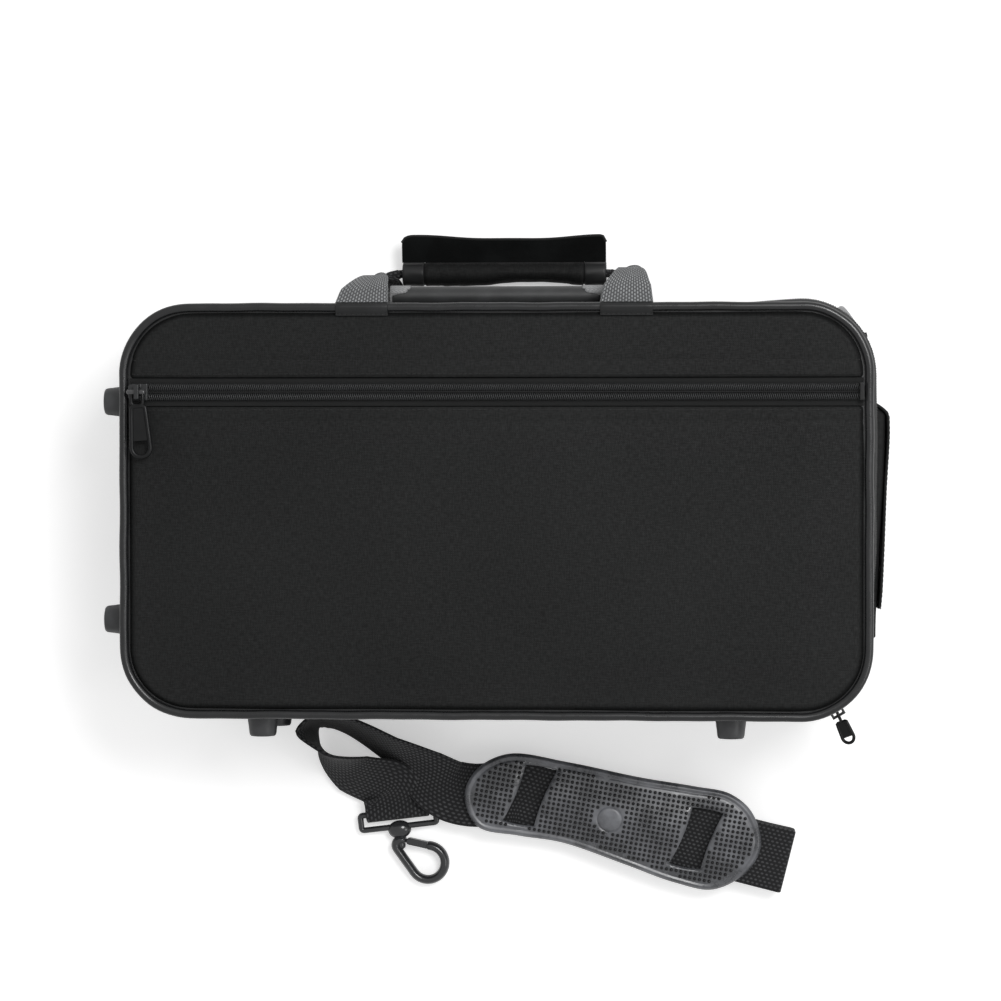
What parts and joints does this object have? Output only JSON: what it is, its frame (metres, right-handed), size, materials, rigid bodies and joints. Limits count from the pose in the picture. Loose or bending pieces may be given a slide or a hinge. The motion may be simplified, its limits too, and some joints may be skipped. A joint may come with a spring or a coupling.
{
  "type": "clarinet case",
  "caption": "Soft rectangular woodwind case with a hinged zipped lid, flat front pocket, two carrying handles, end pouch, rubber feet and a loose shoulder strap.",
  "frame": {"origin": "centre of the back panel's outer face, which the case lies on", "axes": "+X along the case towards its end pouch, +Y towards the side that carries the handles, +Z out of the front panel with the pocket"},
  "size_m": [0.4038, 0.3499, 0.1075],
  "materials": {
    "cloth_black": "black woven nylon cloth, matt with a faint sheen",
    "vinyl_grey": "dark grey grained vinyl, satin",
    "plush_black": "black short-pile plush, dull",
    "zip_black": "black nylon coil on woven tape",
    "webbing_grey": "dark grey woven webbing with lighter dots",
    "rubber_grey": "dark grey soft rubber, matt",
    "plastic_black": "black moulded plastic, glossy",
    "steel_grey": "nickel-plated steel wire, dark satin"
  },
  "bodies": {
    "case_base": {"base_shell": "cloth_black", "back_panel": "cloth_black", "back_piping": "vinyl_grey", "main_zip_base_half": "zip_black", "hinge_tape_base": "cloth_black", "base_insert": "plush_black", "base_end_foot_upper": "rubber_grey", "base_end_foot_lower": "rubber_grey", "base_side_foot_left": "rubber_grey", "base_side_foot_right": "rubber_grey", "end_pouch": "cloth_black", "d_ring_tab_right": "webbing_grey", "d_ring_tab_left": "webbing_grey"},
    "case_lid": {"lid_shell": "cloth_black", "lid_lining": "plush_black", "front_piping": "vinyl_grey", "front_panel": "cloth_black", "pocket_panel": "cloth_black", "pocket_zip": "zip_black", "pocket_zip_stop": "plastic_black", "main_zip_lid_half": "zip_black", "hinge_tape_lid": "cloth_black", "lid_end_foot_upper": "rubber_grey", "lid_end_foot_lower": "rubber_grey", "lid_side_foot_left": "rubber_grey", "lid_side_foot_right": "rubber_grey"},
    "pocket_slider": {"pocket_zip_slider": "plastic_black"},
    "pocket_pull": {"pocket_zip_pull": "plastic_black"},
    "main_slider": {"main_zip_slider": "plastic_black"},
    "main_pull": {"main_zip_pull": "plastic_black"},
    "front_handle": {"front_handle_webbing": "webbing_grey", "front_handle_grip": "vinyl_grey"},
    "back_handle": {"back_handle_webbing": "webbing_grey", "handle_wrap_sleeve": "cloth_black"},
    "wrap_flap": {"handle_wrap_flap": "plush_black"},
    "pouch_flap": {"end_pouch_flap": "cloth_black"},
    "ring_right": {"d_ring_right": "steel_grey"},
    "ring_left": {"d_ring_left": "steel_grey"},
    "strap": {"strap_webbing": "webbing_grey", "strap_hook_first_crossbar": "plastic_black", "strap_hook_second_crossbar": "plastic_black"},
    "hook_first": {"strap_hook_first": "plastic_black"},
    "gate_first": {"strap_hook_first_gate": "plastic_black"},
    "hook_second": {"strap_hook_second": "plastic_black"},
    "gate_second": {"strap_hook_second_gate": "plastic_black"},
    "strap_pad": {"shoulder_pad": "rubber_grey"}
  },
  "joints": [
    {"name": "lid_hinge", "type": "hinge", "parent": "case_base", "child": "case_lid", "pos_m": [0, -0.1026, 0.06], "axis": [1, 0, 0], "range_deg": [0, 105]},
    {"name": "pocket_zip_run", "type": "slide", "parent": "case_lid", "child": "pocket_slider", "axis": [1, 0, 0], "range_m": [0, 0.359]},
    {"name": "pocket_pull_lift", "type": "hinge", "parent": "pocket_slider", "child": "pocket_pull", "pos_m": [-0.1809, 0.0605, 0.10455], "axis": [-1, 0, 0], "range_deg": [0, 150]},
    {"name": "main_zip_run", "type": "hinge", "parent": "case_base", "child": "main_slider", "pos_m": [0.155, -0.0695, 0.0558], "axis": [0, 0, 1], "range_deg": [0, 55]},
    {"name": "main_pull_swing", "type": "hinge", "parent": "main_slider", "child": "main_pull", "pos_m": [0.17497, -0.1041, 0.0558], "axis": [0, 0, 1], "range_deg": [-40, 40]},
    {"name": "front_handle_swing", "type": "hinge", "parent": "case_lid", "child": "front_handle", "pos_m": [0, 0.1067, 0.0985], "axis": [1, 0, 0], "range_deg": [0, 90]},
    {"name": "back_handle_swing", "type": "hinge", "parent": "case_base", "child": "back_handle", "pos_m": [0, 0.107, 0.0011], "axis": [1, 0, 0], "range_deg": [0, 40]},
    {"name": "wrap_flap_fold", "type": "hinge", "parent": "back_handle", "child": "wrap_flap", "pos_m": [0, 0.1314, 0.01185], "axis": [1, 0, 0], "range_deg": [0, 110]},
    {"name": "pouch_flap_lift", "type": "hinge", "parent": "case_base", "child": "pouch_flap", "pos_m": [0.1893, 0.05992, 0.03], "axis": [0, 0, 1], "range_deg": [0, 110]},
    {"name": "ring_swing_right", "type": "hinge", "parent": "case_base", "child": "ring_right", "pos_m": [0.18746, 0.09058, 0.03], "axis": [0, 0, -1], "range_deg": [0, 140]},
    {"name": "ring_swing_left", "type": "hinge", "parent": "case_base", "child": "ring_left", "pos_m": [-0.18746, 0.09058, 0.03], "axis": [0, 0, 1], "range_deg": [0, 140]},
    {"name": "strap_slide_away", "type": "slide", "parent": "case_base", "child": "strap", "axis": [0, -1, 0], "range_m": [0, 0.25]},
    {"name": "hook_swivel_first", "type": "hinge", "parent": "strap", "child": "hook_first", "pos_m": [-0.058, -0.164, 0.0044], "axis": [0.1219, -0.9925, 0], "continuous": true},
    {"name": "gate_spring_first", "type": "hinge", "parent": "hook_first", "child": "gate_first", "pos_m": [-0.05142, -0.17982, 0.0044], "axis": [0, 0, -1], "range_deg": [0, 25], "stiffness_Nm_per_rad": 0.002, "springref_deg": -11.46},
    {"name": "hook_swivel_second", "type": "hinge", "parent": "strap", "child": "hook_second", "pos_m": [0.08453, -0.17336, 0.0044], "axis": [0.9763, -0.2164, 0], "range_deg": [0, 7]},
    {"name": "gate_spring_second", "type": "hinge", "parent": "hook_second", "child": "gate_second", "pos_m": [0.06942, -0.16529, 0.0044], "axis": [0, 0, 1], "range_deg": [0, 25], "stiffness_Nm_per_rad": 0.002, "springref_deg": -11.46},
    {"name": "pad_slide", "type": "slide", "parent": "strap", "child": "strap_pad", "axis": [0.9703, -0.2419, 0], "range_m": [0, 0.006]}
  ]
}
